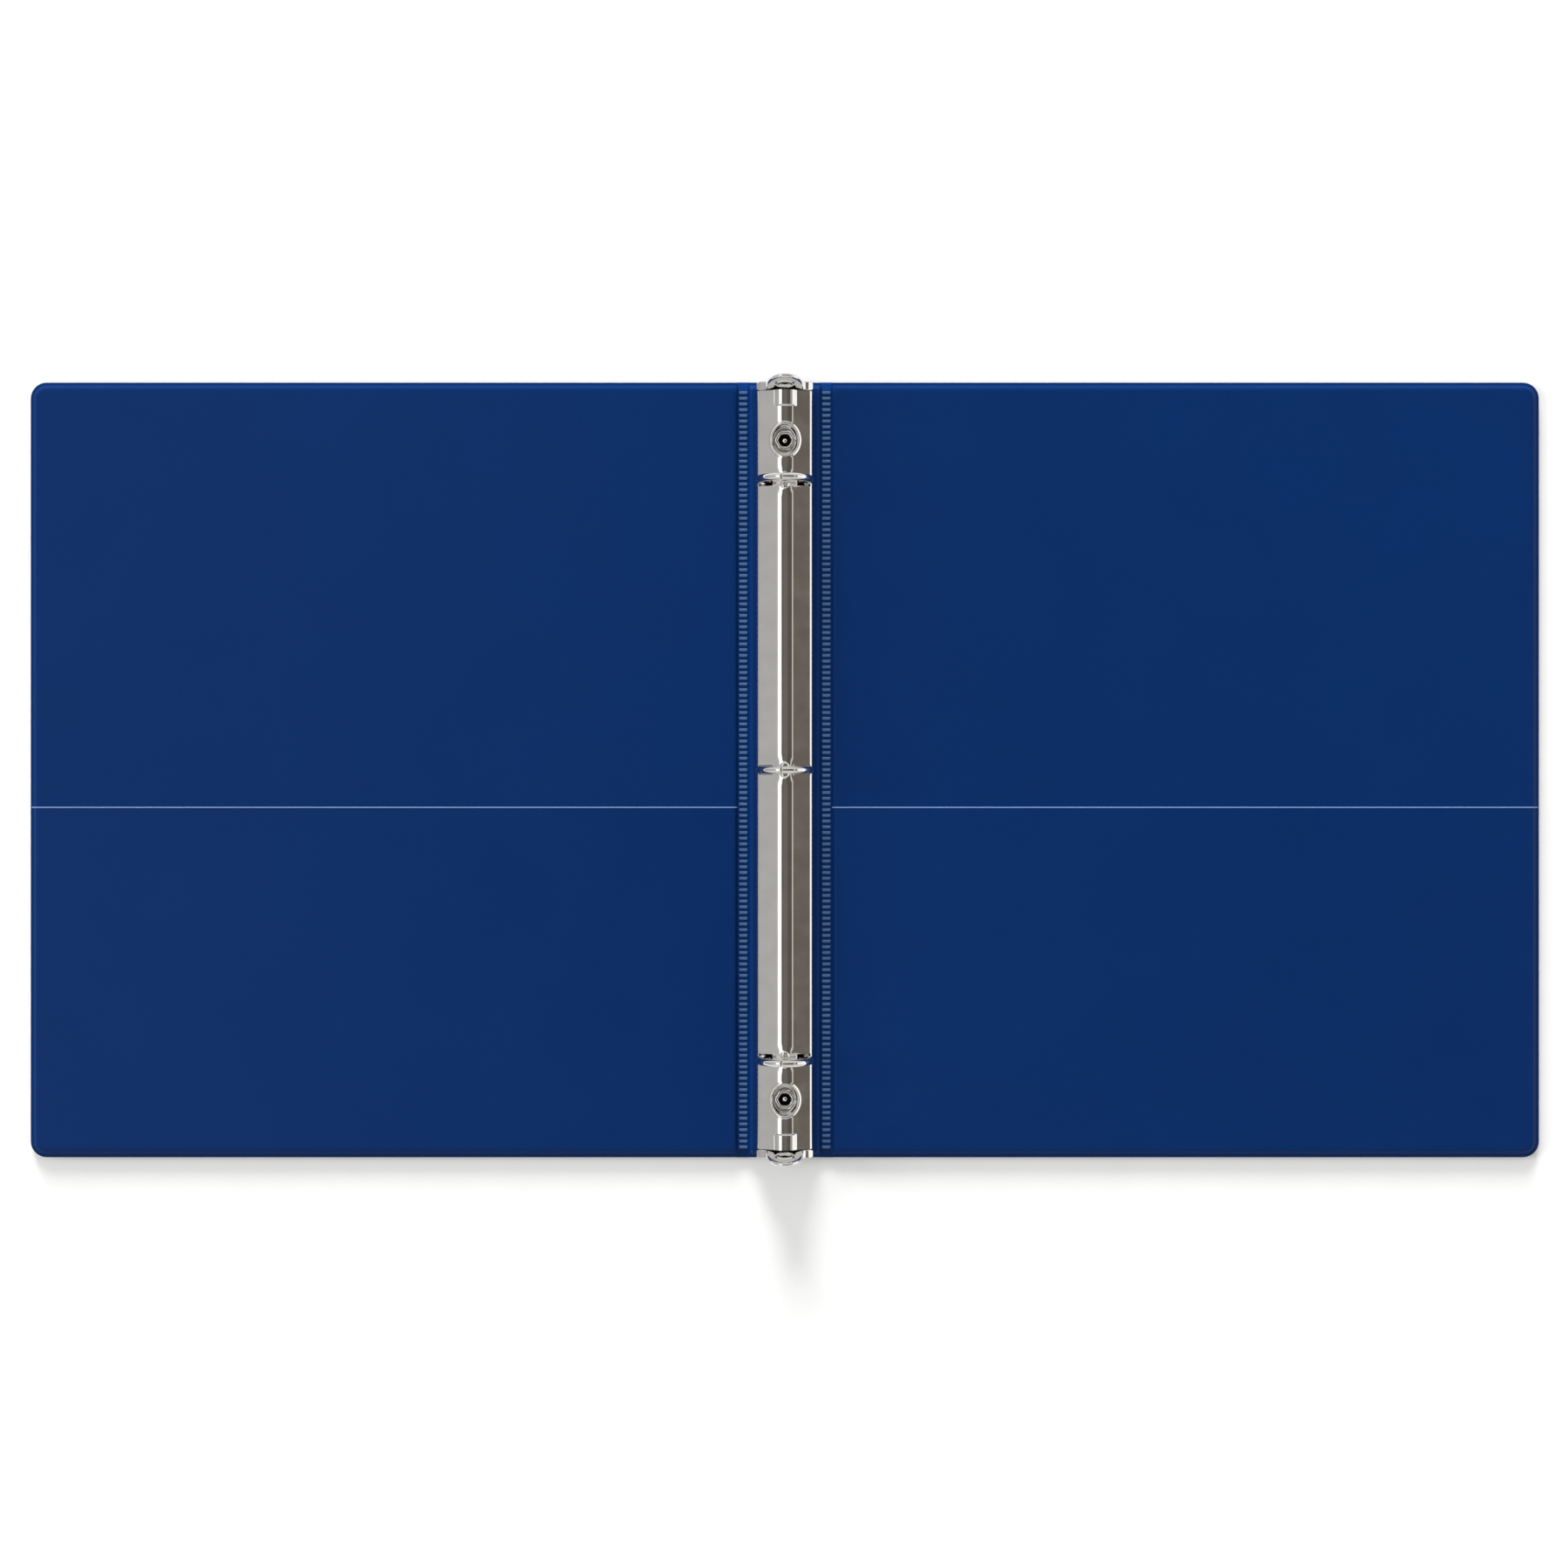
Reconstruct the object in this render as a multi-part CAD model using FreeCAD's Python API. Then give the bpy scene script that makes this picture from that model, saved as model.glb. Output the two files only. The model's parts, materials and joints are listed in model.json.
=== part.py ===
import FreeCAD, Part
import math
import os
from FreeCAD import Vector

# A three-ring binder lying open with its inside up.  Millimetres.
# X runs across the open binder, front cover on -X and back cover on +X.
# Y runs along the spine, towards the top of the covers.  +Z is up.
# The origin is on the table, under the middle of the spine.

# ---- covers and spine -------------------------------------------------------
cover_height = 292.1        # along the spine
panel_width = 268.7         # hinge line to the outer edge of a cover
hinge_x = 15.65             # middle of the spine to a hinge line
corner_radius = 6.0         # outer corners of the covers
board_thickness = 2.2
vinyl_thickness = 0.35
weld_rim = 2.0              # flat welded border outside the boards
hinge_margin = 2.8          # hinge line to the side of a board pocket
hinge_bead_radius = 0.45    # round fold line of the vinyl
hinge_gap = 0.2             # bead to the web that turns round it
spine_dip = 0.1             # how far the spine sags below its own weld

# ---- pockets inside the covers ----------------------------------------------
pocket_height = 132.0       # bottom edge of a cover to the mouth of its pocket
pocket_vinyl = 0.3
pocket_slack = 0.2          # room for paper at rest
pocket_seam = 2.0

# ---- ring mechanism ---------------------------------------------------------
housing_length = 283.8
housing_width = 21.2
housing_height = 7.0
housing_wall_height = 3.3   # upright side below the sloping flank
ridge_width = 6.8
ridge_rise = 0.7
steel_sheet = 0.9
flank_bend_radius = 1.4
lip_width = 1.5             # edge of the housing that is curled in
blade_thickness = 1.2
blade_play = 0.2            # blade edge to the housing wall
blade_rest_gap = 0.5        # blade edge to the curled lip
blade_middle_gap = 0.3      # between the two blades
blade_end_gap = 3.4         # end of the housing to the end of a blade
ring_pitch = 107.95
ring_inner_diameter = 15.9
wire_diameter = 2.8
ring_centre_height = 10.15  # above the spine
ring_joint_offset = 1.2     # tips meet this far towards the front cover
ring_tip_gap = 0.2
ring_peg_diameter = 2.0
ring_peg_rise = 0.35        # peg above the blade, inside the wire
ring_pin_diameter = 1.4     # at the root of the pin that locks two tips
ring_pin_tip_diameter = 0.8
ring_pin_length = 0.9
slot_clearance = 0.4
ring_opening = 15.0         # degrees that each half ring tips out
button_length = 6.3
button_width = 3.7
button_rise = 0.4
button_edge_radius = 0.28

# ---- rivets -----------------------------------------------------------------
rivet_spacing = 246.6
rivet_tube_diameter = 5.4
rivet_bore_diameter = 4.6
rivet_flange_diameter = 6.8
rivet_flange_thickness = 0.5
rivet_head_diameter = 9.5
rivet_head_edge = 0.2
rivet_nub_diameter = 2.3
rivet_hole_play = 0.1
dish_length = 13.5
dish_width = 11.0
dish_taper = 1.3            # each side, from the rim down to the floor
dish_depth = 2.7
post_diameter = 7.2
notch_clearance = 1.5

# ---- levers -----------------------------------------------------------------
lever_gap = 0.3             # end of the housing to the lever
lever_base_depth = 3.2
lever_pivot_inset = 1.5     # pivot to the end of the housing
lever_hub_radius = 1.3
lever_floor_gap = 0.2
lever_hub_width = 9.6
lever_base_lift = 0.5       # underside of the base above the pivot
trunnion_diameter = 1.4
trunnion_play = 0.25
lever_travel = 35.0         # degrees
lever_tongue_length = 3.2
lever_tongue_width = 4.0
lever_tongue_thickness = 0.8
tab_width = 12.8
tab_top_height = 14.1       # above the spine
tab_lean = 1.4              # how far the tab leans out
tab_thickness = 1.3
thumb_oval_width = 6.8
thumb_oval_height = 5.0
thumb_oval_rise = 0.3
tunnel_length = 5.8
tunnel_width = 8.6
tunnel_rise = 0.6

# ---- places that follow from the sizes --------------------------------------
half_height = cover_height / 2
panel_thickness = board_thickness + 2 * vinyl_thickness
weld_z = panel_thickness / 2
spine_bottom = weld_z - vinyl_thickness - spine_dip
spine_top = spine_bottom + panel_thickness
housing_end = housing_length / 2
wall_x = housing_width / 2
wall_top = spine_top + housing_wall_height
ridge_top = spine_top + housing_height
ridge_x = ridge_width / 2
ridge_side = ridge_top - ridge_rise
flank_slope = (ridge_side - wall_top) / (wall_x - ridge_x)
blade_pivot_x = wall_x - steel_sheet - blade_play - blade_thickness / 2
blade_z = spine_top + steel_sheet + blade_rest_gap + blade_thickness / 2
blade_top = blade_z + blade_thickness / 2
blade_bottom = blade_z - blade_thickness / 2
blade_end = housing_end - blade_end_gap
ring_radius = (ring_inner_diameter + wire_diameter) / 2
ring_outer_radius = ring_radius + wire_diameter / 2
ring_centre_z = spine_top + ring_centre_height
ring_end_x = math.sqrt(ring_radius ** 2 - (ring_centre_z - blade_top) ** 2)
rivet_y = rivet_spacing / 2
dish_floor = ridge_top - dish_depth
dish_underside = dish_floor - steel_sheet
lever_pivot_y = housing_end - lever_pivot_inset
lever_pivot_z = spine_top + lever_floor_gap + lever_hub_radius
lever_face = housing_end + lever_gap
lever_back = lever_face + lever_base_depth
tab_tip_z = spine_top + tab_top_height
tab_foot_up = (ridge_side - lever_pivot_z) / 2

BEYOND = 5.0                # how far a cutting shape runs past what it cuts
TINY = 0.001
ACROSS = Vector(1, 0, 0)
ALONG = Vector(0, 1, 0)
UP = Vector(0, 0, 1)
MIRROR_POINT = Vector(0, 0, 0)
SIDES = {"left": -1, "right": 1}
COVERS = {"front": -1, "back": 1}
ENDS = {"top": 1, "bottom": -1}
RINGS = {"top": ring_pitch, "middle": 0.0, "bottom": -ring_pitch}


# ---- plain shapes -----------------------------------------------------------
def box(x0, x1, y0, y1, z0, z1):
    low = Vector(min(x0, x1), min(y0, y1), min(z0, z1))
    return Part.makeBox(abs(x1 - x0), abs(y1 - y0), abs(z1 - z0), low)


def cylinder(radius, start, end):
    run = end - start
    return Part.makeCylinder(radius, run.Length, start, run)


def upright(radius, y, z0, z1):
    return cylinder(radius, Vector(0, y, z0), Vector(0, y, z1))


def slab(inner_x, outer_x, half_y, z0, z1, radius):
    """Flat slab whose two corners at outer_x are rounded."""
    body = box(inner_x, outer_x, -half_y, half_y, z0, z1)
    corners = []
    for edge in body.Edges:
        first = edge.Vertexes[0].Point
        last = edge.Vertexes[1].Point
        stands = abs(first.z - last.z) > TINY
        if stands and abs(first.x - outer_x) < TINY:
            corners.append(edge)
    return body.makeFillet(radius, corners)


def prism(points, direction):
    """Straight prism over a closed polygon."""
    outline = Part.makePolygon(points + [points[0]])
    return Part.Face(outline).extrude(direction)


def oval_wire(half_x, half_y, y, z):
    """Ellipse in a level plane, longer along Y."""
    centre = Vector(0, y, z)
    ellipse = Part.Ellipse(Vector(0, y + half_y, z), Vector(half_x, y, z), centre)
    return Part.Wire([ellipse.toShape()])


def mirrored_along(shape):
    return shape.mirror(MIRROR_POINT, ALONG)


def save(name, shape):
    solid = shape.removeSplitter()
    solid.exportStep("parts/" + name + ".step")


# ---- covers -----------------------------------------------------------------
def cover_footprint(side, inset, z0, z1):
    """Slab over a cover's board pocket, drawn in by inset all round."""
    inner_x = side * (hinge_x + hinge_margin + inset)
    outer_x = side * (hinge_x + panel_width - weld_rim - inset)
    half_y = half_height - weld_rim - inset
    return slab(inner_x, outer_x, half_y, z0, z1, corner_radius - weld_rim - inset)


def cover_flange(side, z0, z1):
    """Welded border of a cover, up to the web beside the hinge bead."""
    web_x = side * (hinge_x + hinge_bead_radius + hinge_gap)
    outer_x = side * (hinge_x + panel_width)
    return slab(web_x, outer_x, half_height, z0, z1, corner_radius)


def cover_outer_skin(side):
    flange = cover_flange(side, weld_z - vinyl_thickness, weld_z)
    pan = cover_footprint(side, 0, 0, weld_z)
    room = cover_footprint(side, vinyl_thickness, vinyl_thickness, weld_z)
    return flange.fuse(pan).cut(room)


def cover_inner_skin(side):
    flange = cover_flange(side, weld_z, weld_z + vinyl_thickness)
    pan = cover_footprint(side, 0, weld_z, panel_thickness)
    room = cover_footprint(side, vinyl_thickness, weld_z, panel_thickness - vinyl_thickness)
    return flange.fuse(pan).cut(room)


def cover_board(side):
    top = panel_thickness - vinyl_thickness
    return cover_footprint(side, vinyl_thickness, vinyl_thickness, top)


def cover_pocket(side):
    """Sheet welded along three edges, open towards the top of the cover."""
    mouth_y = pocket_height - half_height
    slot_top = panel_thickness + pocket_slack
    sheet = cover_footprint(side, 0, panel_thickness, slot_top + pocket_vinyl)
    slot = cover_footprint(side, pocket_seam, panel_thickness, slot_top)
    reach = hinge_x + panel_width
    above = box(-reach, reach, mouth_y, half_height, 0, slot_top + BEYOND)
    return sheet.cut(slot).cut(above)


# ---- spine ------------------------------------------------------------------
def spine_slab(inset, z0, z1):
    half_x = hinge_x - hinge_margin - inset
    half_y = half_height - weld_rim - inset
    return box(-half_x, half_x, -half_y, half_y, z0, z1)


def spine_flange(z0, z1):
    return box(-hinge_x, hinge_x, -half_height, half_height, z0, z1)


def hinge_beads():
    beads = []
    for side in COVERS.values():
        start = Vector(side * hinge_x, -half_height, weld_z)
        end = Vector(side * hinge_x, half_height, weld_z)
        beads.append(cylinder(hinge_bead_radius, start, end))
    return beads


def rivet_holes():
    radius = rivet_tube_diameter / 2 + rivet_hole_play
    holes = []
    for end in ENDS.values():
        holes.append(upright(radius, end * rivet_y, -BEYOND, ridge_top + BEYOND))
    return holes


def spine_outer_skin():
    flange = spine_flange(weld_z - vinyl_thickness, weld_z)
    pan = spine_slab(0, spine_bottom, weld_z)
    room = spine_slab(vinyl_thickness, spine_bottom + vinyl_thickness, weld_z)
    skin = flange.fuse(pan).cut(room)
    return skin.fuse(hinge_beads()).cut(rivet_holes())


def spine_inner_skin():
    flange = spine_flange(weld_z, weld_z + vinyl_thickness)
    pan = spine_slab(0, weld_z, spine_top)
    room = spine_slab(vinyl_thickness, weld_z, spine_top - vinyl_thickness)
    skin = flange.fuse(pan).cut(room)
    return skin.cut(hinge_beads()).cut(rivet_holes())


def spine_board():
    low = spine_bottom + vinyl_thickness
    board = spine_slab(vinyl_thickness, low, spine_top - vinyl_thickness)
    return board.cut(rivet_holes())


# ---- housing of the ring mechanism ------------------------------------------
def arch(inset, y0, y1):
    """Solid under the housing's outer outline, or under it less inset."""
    across = wall_x - inset
    bottom = spine_top - BEYOND
    lean = math.hypot(1, flank_slope)
    shoulder = wall_top - inset * (lean - flank_slope)
    ridge_low = ridge_side - inset * lean
    corner_left = Vector(-across, y0, shoulder)
    corner_right = Vector(across, y0, shoulder)
    ridge_left = Vector(-ridge_x, y0, ridge_low)
    ridge_right = Vector(ridge_x, y0, ridge_low)
    crown = Vector(0, y0, ridge_top - inset)
    foot_left = Vector(-across, y0, bottom)
    foot_right = Vector(across, y0, bottom)
    edges = [
        Part.makeLine(foot_left, corner_left),
        Part.makeLine(corner_left, ridge_left),
        Part.Arc(ridge_left, crown, ridge_right).toShape(),
        Part.makeLine(ridge_right, corner_right),
        Part.makeLine(corner_right, foot_right),
        Part.makeLine(foot_right, foot_left),
    ]
    body = Part.Face(Part.Wire(edges)).extrude(Vector(0, y1 - y0, 0))
    bends = []
    for edge in body.Edges:
        point = edge.Vertexes[0].Point
        level = abs(point.z - shoulder) < TINY
        runs_along = abs(edge.Vertexes[-1].Y - point.y) > TINY
        if level and runs_along:
            bends.append(edge)
    return body.makeFillet(flank_bend_radius - inset, bends)


def below_spine_top():
    reach = wall_x + BEYOND
    low = spine_top - 2 * BEYOND
    return box(-reach, reach, -housing_end - BEYOND, housing_end + BEYOND, low, spine_top)


def flank_crossing(radius, drop, centre_x, centre_z):
    """Distance from the middle where a circle crosses the right flank lowered by drop."""
    height = wall_top + flank_slope * wall_x - drop - centre_z
    a = 1 + flank_slope ** 2
    b = centre_x + flank_slope * height
    c = centre_x ** 2 + height ** 2 - radius ** 2
    return (b + math.sqrt(b * b - a * c)) / a


def opened_ring_centre():
    """Centre of the right half ring once its blade has turned to the end of its travel."""
    angle = math.radians(ring_opening)
    up = ring_centre_z - blade_z
    x = blade_pivot_x - blade_pivot_x * math.cos(angle) + up * math.sin(angle)
    z = blade_z + blade_pivot_x * math.sin(angle) + up * math.cos(angle)
    return x, z


def ring_slots():
    """Openings in the flanks that the half rings pass and swing through."""
    steel_drop = steel_sheet * math.hypot(1, flank_slope)
    inner_radius = ring_inner_diameter / 2
    closed = (0, ring_centre_z)
    opened = opened_ring_centre()
    near = min(flank_crossing(inner_radius, steel_drop, *place) for place in (closed, opened))
    far = max(flank_crossing(ring_outer_radius, 0, *place) for place in (closed, opened))
    half_y = wire_diameter / 2 + slot_clearance
    slots = []
    for side in SIDES.values():
        inner_x = side * (near - slot_clearance)
        outer_x = side * (far + slot_clearance)
        for y in RINGS.values():
            slots.append(box(inner_x, outer_x, y - half_y, y + half_y, blade_top, ridge_top))
    return slots


def dish(end, grow, z0, z1):
    """Tapered oval round a rivet, drawn between two heights."""
    taper = dish_taper / dish_depth
    wires = []
    for z in (z0, z1):
        draw_in = (ridge_top - z) * taper
        half_x = dish_width / 2 - draw_in + grow
        half_y = dish_length / 2 - draw_in + grow
        wires.append(oval_wire(half_x, half_y, end * rivet_y, z))
    return Part.makeLoft(wires, True)


def button(y):
    """Pressed oval under a ring."""
    outline = oval_wire(button_width / 2, button_length / 2, y, ridge_top - steel_sheet / 2)
    pad = Part.Face(outline).extrude(UP * (button_rise + steel_sheet / 2))
    rim = [edge for edge in pad.Edges if edge.BoundBox.ZMin > ridge_top]
    return pad.makeFillet(button_edge_radius, rim)


def tunnel(end, radius, low):
    """Round ridge over the lever's pivot, above a level."""
    centre_z = ridge_top + tunnel_rise - tunnel_width / 2
    start = Vector(0, end * (housing_end - tunnel_length), centre_z)
    finish = Vector(0, end * housing_end, centre_z)
    barrel = cylinder(radius, start, finish)
    reach = tunnel_width
    keep = box(-reach, reach, -housing_end, housing_end, low, ridge_top + BEYOND)
    return barrel.common(keep)


def trunnion_bar(end, radius, half_x):
    start = Vector(-half_x, end * lever_pivot_y, lever_pivot_z)
    finish = Vector(half_x, end * lever_pivot_y, lever_pivot_z)
    return cylinder(radius, start, finish)


def housing():
    shell = arch(0, -housing_end, housing_end)
    inside = arch(steel_sheet, -housing_end - BEYOND, housing_end + BEYOND)
    shell = shell.cut(inside)
    for side in SIDES.values():
        inner_x = side * (wall_x - steel_sheet - lip_width)
        outer_x = side * (wall_x - steel_sheet / 2)
        lip_top = spine_top + steel_sheet
        shell = shell.fuse(box(inner_x, outer_x, -blade_end, blade_end, spine_top, lip_top))
    solid_arch = arch(0, -housing_end, housing_end)
    for end in ENDS.values():
        cup = dish(end, steel_sheet, dish_underside, ridge_top + steel_sheet)
        shell = shell.fuse(cup.common(solid_arch))
        shell = shell.cut(dish(end, 0, dish_floor, ridge_top + steel_sheet))
        ridge_floor = ridge_side - steel_sheet
        shell = shell.fuse(tunnel(end, tunnel_width / 2, ridge_floor).cut(inside))
        shell = shell.cut(tunnel(end, tunnel_width / 2 - steel_sheet, ridge_floor))
        hole_radius = trunnion_diameter / 2 + trunnion_play
        shell = shell.cut(trunnion_bar(end, hole_radius, wall_x + BEYOND))
    for y in RINGS.values():
        shell = shell.fuse(button(y))
    return shell.cut(ring_slots()).cut(rivet_holes()).cut(below_spine_top())


# ---- blades and half rings --------------------------------------------------
def blade(side):
    """Flat steel leaf, hinged along its outer edge inside the housing."""
    inner_x = side * blade_middle_gap / 2
    pivot_x = side * blade_pivot_x
    leaf = box(inner_x, pivot_x, -blade_end, blade_end, blade_bottom, blade_top)
    start = Vector(pivot_x, -blade_end, blade_z)
    finish = Vector(pivot_x, blade_end, blade_z)
    leaf = leaf.fuse(cylinder(blade_thickness / 2, start, finish))
    for end in ENDS.values():
        y = end * rivet_y
        notch_x = side * (dish_width / 2 + notch_clearance)
        half_y = dish_length / 2 + notch_clearance
        leaf = leaf.cut(box(0, notch_x, y - half_y, y + half_y, spine_top, ridge_top))
    for y in RINGS.values():
        leaf = leaf.cut(ring_peg(side, y, BEYOND))
    return leaf


def ring_peg(side, y, height):
    """Peg of a half ring, from the underside of its blade up."""
    x = side * ring_end_x
    start = Vector(x, y, blade_bottom)
    return cylinder(ring_peg_diameter / 2, start, Vector(x, y, blade_top + height))


def half_ring(side, y):
    centre = Vector(0, y, ring_centre_z)
    whole = Part.makeTorus(ring_radius, wire_diameter / 2, centre, ALONG)
    joint_x = -ring_joint_offset + side * ring_tip_gap / 2
    far_x = side * (ring_outer_radius + BEYOND)
    ring_top = ring_centre_z + ring_outer_radius + BEYOND
    near_y = y - wire_diameter
    far_y = y + wire_diameter
    half = whole.common(box(joint_x, far_x, near_y, far_y, blade_top, ring_top))
    half = half.fuse(ring_peg(side, y, ring_peg_rise))
    tip_z = ring_centre_z + math.sqrt(ring_radius ** 2 - ring_joint_offset ** 2)
    root = Vector(-ring_joint_offset - ring_tip_gap, y, tip_z)
    wide = ring_pin_diameter / 2
    narrow = ring_pin_tip_diameter / 2
    if side < 0:
        return half.fuse(Part.makeCone(wide, narrow, ring_pin_length, root, ACROSS))
    wide += ring_tip_gap
    narrow += ring_tip_gap
    return half.cut(Part.makeCone(wide, narrow, ring_pin_length + ring_tip_gap, root, ACROSS))


# ---- rivets -----------------------------------------------------------------
def rivet(end):
    """Tubular rivet: domed head under the spine, flared end in the dish."""
    y = end * rivet_y
    head_radius = rivet_head_diameter / 2
    dome_height = spine_bottom - rivet_head_edge
    dome_radius = (head_radius ** 2 + dome_height ** 2) / (2 * dome_height)
    ball = Part.makeSphere(dome_radius, Vector(0, y, dome_radius))
    dome = ball.common(upright(head_radius, y, 0, dome_height))
    edge = upright(head_radius, y, dome_height, spine_bottom)
    flange_top = dish_floor + rivet_flange_thickness
    tube = upright(rivet_tube_diameter / 2, y, spine_bottom, flange_top)
    flange = upright(rivet_flange_diameter / 2, y, dish_floor, flange_top)
    bore = upright(rivet_bore_diameter / 2, y, spine_top, flange_top)
    nub = upright(rivet_nub_diameter / 2, y, spine_top, dish_underside)
    body = dome.fuse([edge, tube, flange])
    return body.cut(bore).fuse(nub)


def post(end):
    """Spacer tube that holds the housing's dish off the spine."""
    y = end * rivet_y
    tube = upright(post_diameter / 2, y, spine_top, dish_underside)
    return tube.cut(rivet_holes())


# ---- levers -----------------------------------------------------------------
def lever_side(points):
    """Prism across the lever over points given from the pivot, outwards and up."""
    corners = []
    for out, up in points:
        corners.append(Vector(-wall_x, lever_pivot_y + out, lever_pivot_z + up))
    return prism(corners, ACROSS * (2 * wall_x))


def lever_foot(up):
    """How far out the underside that lands on the spine is at a height."""
    angle = math.radians(lever_travel)
    return (up + lever_hub_radius / math.cos(angle)) / math.tan(angle)


def lever_base():
    face = lever_face - lever_pivot_y
    back = lever_back - lever_pivot_y
    top = ridge_top - lever_pivot_z
    low = lever_base_lift
    angle = math.radians(lever_travel)
    back_low = back * math.tan(angle) - lever_hub_radius / math.cos(angle)
    points = [(face, low), (lever_foot(low), low), (back, back_low), (back, top), (face, top)]
    outline = arch(0, lever_face - BEYOND, lever_back + BEYOND)
    return lever_side(points).common(outline)


def lever_neck():
    """Middle of the lever, from its hub to the base outside the housing."""
    angle = math.radians(lever_travel)
    touch = (lever_hub_radius * math.sin(angle), -lever_hub_radius * math.cos(angle))
    reach = lever_face - lever_pivot_y + lever_base_depth / 2
    top = lever_hub_radius
    reach_low = reach * math.tan(angle) - lever_hub_radius / math.cos(angle)
    points = [(0, 0), touch, (reach, reach_low), (reach, top), (0, top)]
    half_x = lever_hub_width / 2
    keep = box(-half_x, half_x, 0, lever_back + BEYOND, 0, ridge_top)
    return lever_side(points).common(keep)


def lever_tab():
    """Upright thumb tab with a round end that leans outwards."""
    back = lever_back - lever_pivot_y
    tip = tab_tip_z - lever_pivot_z
    points = [
        (back - tab_thickness, tab_foot_up),
        (back, tab_foot_up),
        (back + tab_lean, tip),
        (back + tab_lean - tab_thickness, tip),
    ]
    half = tab_width / 2
    round_z = tab_tip_z - half
    far = lever_back + BEYOND
    straight = box(-half, half, 0, far, 0, round_z)
    end = cylinder(half, Vector(0, 0, round_z), Vector(0, far, round_z))
    return lever_side(points).common(straight.fuse(end))


def thumb_oval():
    """Raised oval on the inner face of the tab."""
    tip_up = tab_tip_z - lever_pivot_z
    rise = tip_up - tab_foot_up
    lean = math.degrees(math.atan2(tab_lean, rise))
    centre_up = tip_up - tab_width / 2
    share = (centre_up - tab_foot_up) / rise
    out = lever_back - tab_thickness + share * tab_lean
    major = Vector(thumb_oval_width / 2, 0, 0)
    minor = Vector(0, thumb_oval_height / 2, 0)
    outline = Part.Wire([Part.Ellipse(major, minor, MIRROR_POINT).toShape()])
    oval = Part.Face(outline).extrude(UP * (thumb_oval_rise + tab_thickness / 2))
    oval.translate(Vector(0, 0, -tab_thickness / 2))
    oval.rotate(MIRROR_POINT, ACROSS, 90 - lean)
    oval.translate(Vector(0, out, lever_pivot_z + centre_up))
    return oval


def lever():
    """Lever at the top end; the bottom one is its mirror image."""
    hub = trunnion_bar(1, lever_hub_radius, lever_hub_width / 2)
    bar = trunnion_bar(1, trunnion_diameter / 2, wall_x - steel_sheet / 2)
    half_x = lever_tongue_width / 2
    tip_y = lever_pivot_y - lever_tongue_length
    low = lever_pivot_z - lever_hub_radius
    high = low + lever_tongue_thickness
    tongue = box(-half_x, half_x, tip_y, lever_pivot_y, low, high)
    return lever_base().fuse([lever_neck(), lever_tab(), thumb_oval(), hub, bar, tongue])


# ---- every piece ------------------------------------------------------------
def make_all():
    for name, side in COVERS.items():
        save(name + "_outer_skin", cover_outer_skin(side))
        save(name + "_board", cover_board(side))
        save(name + "_inner_skin", cover_inner_skin(side))
        save(name + "_pocket", cover_pocket(side))
    save("spine_outer_skin", spine_outer_skin())
    save("spine_board", spine_board())
    save("spine_inner_skin", spine_inner_skin())
    save("housing", housing())
    for name, side in SIDES.items():
        save(name + "_blade", blade(side))
        for place, y in RINGS.items():
            save(place + "_" + name + "_half_ring", half_ring(side, y))
    top_lever = lever()
    save("top_lever", top_lever)
    save("bottom_lever", mirrored_along(top_lever))
    for name, end in ENDS.items():
        save(name + "_rivet", rivet(end))
        save(name + "_post", post(end))


os.makedirs("parts", exist_ok=True)
make_all()
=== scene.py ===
import json
import math

import bmesh
import bpy
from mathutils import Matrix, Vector


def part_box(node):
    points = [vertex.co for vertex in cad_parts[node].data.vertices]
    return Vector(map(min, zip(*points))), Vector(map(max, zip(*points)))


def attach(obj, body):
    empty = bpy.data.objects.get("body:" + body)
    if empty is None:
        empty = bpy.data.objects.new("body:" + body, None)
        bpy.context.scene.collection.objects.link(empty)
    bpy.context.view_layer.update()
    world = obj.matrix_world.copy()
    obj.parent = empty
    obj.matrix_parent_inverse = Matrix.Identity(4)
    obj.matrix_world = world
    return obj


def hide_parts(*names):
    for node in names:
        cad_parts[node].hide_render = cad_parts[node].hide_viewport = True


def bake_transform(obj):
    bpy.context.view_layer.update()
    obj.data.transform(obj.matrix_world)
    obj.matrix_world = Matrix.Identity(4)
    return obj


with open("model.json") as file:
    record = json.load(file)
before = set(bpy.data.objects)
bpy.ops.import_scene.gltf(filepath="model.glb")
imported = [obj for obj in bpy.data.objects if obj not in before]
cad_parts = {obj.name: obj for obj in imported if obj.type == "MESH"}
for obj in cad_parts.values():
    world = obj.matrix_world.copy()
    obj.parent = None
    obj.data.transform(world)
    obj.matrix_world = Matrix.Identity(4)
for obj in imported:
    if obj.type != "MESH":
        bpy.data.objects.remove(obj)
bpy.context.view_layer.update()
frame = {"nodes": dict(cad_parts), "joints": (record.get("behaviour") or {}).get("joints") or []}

MM = 0.001                  # the shapes below are worked out in millimetres


# ---- places and sizes -------------------------------------------------------
def low_corner(node):
    """Least x, y and z of a CAD node, in millimetres."""
    return [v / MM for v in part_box(node)[0]]


def high_corner(node):
    """Greatest x, y and z of a CAD node, in millimetres."""
    return [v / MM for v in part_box(node)[1]]


def joint_place(name):
    """A point on a joint's axis, in millimetres."""
    for joint in frame["joints"]:
        if joint["name"] == name:
            return [v / MM for v in joint["pos_m"]]
    raise ValueError(name)


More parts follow.
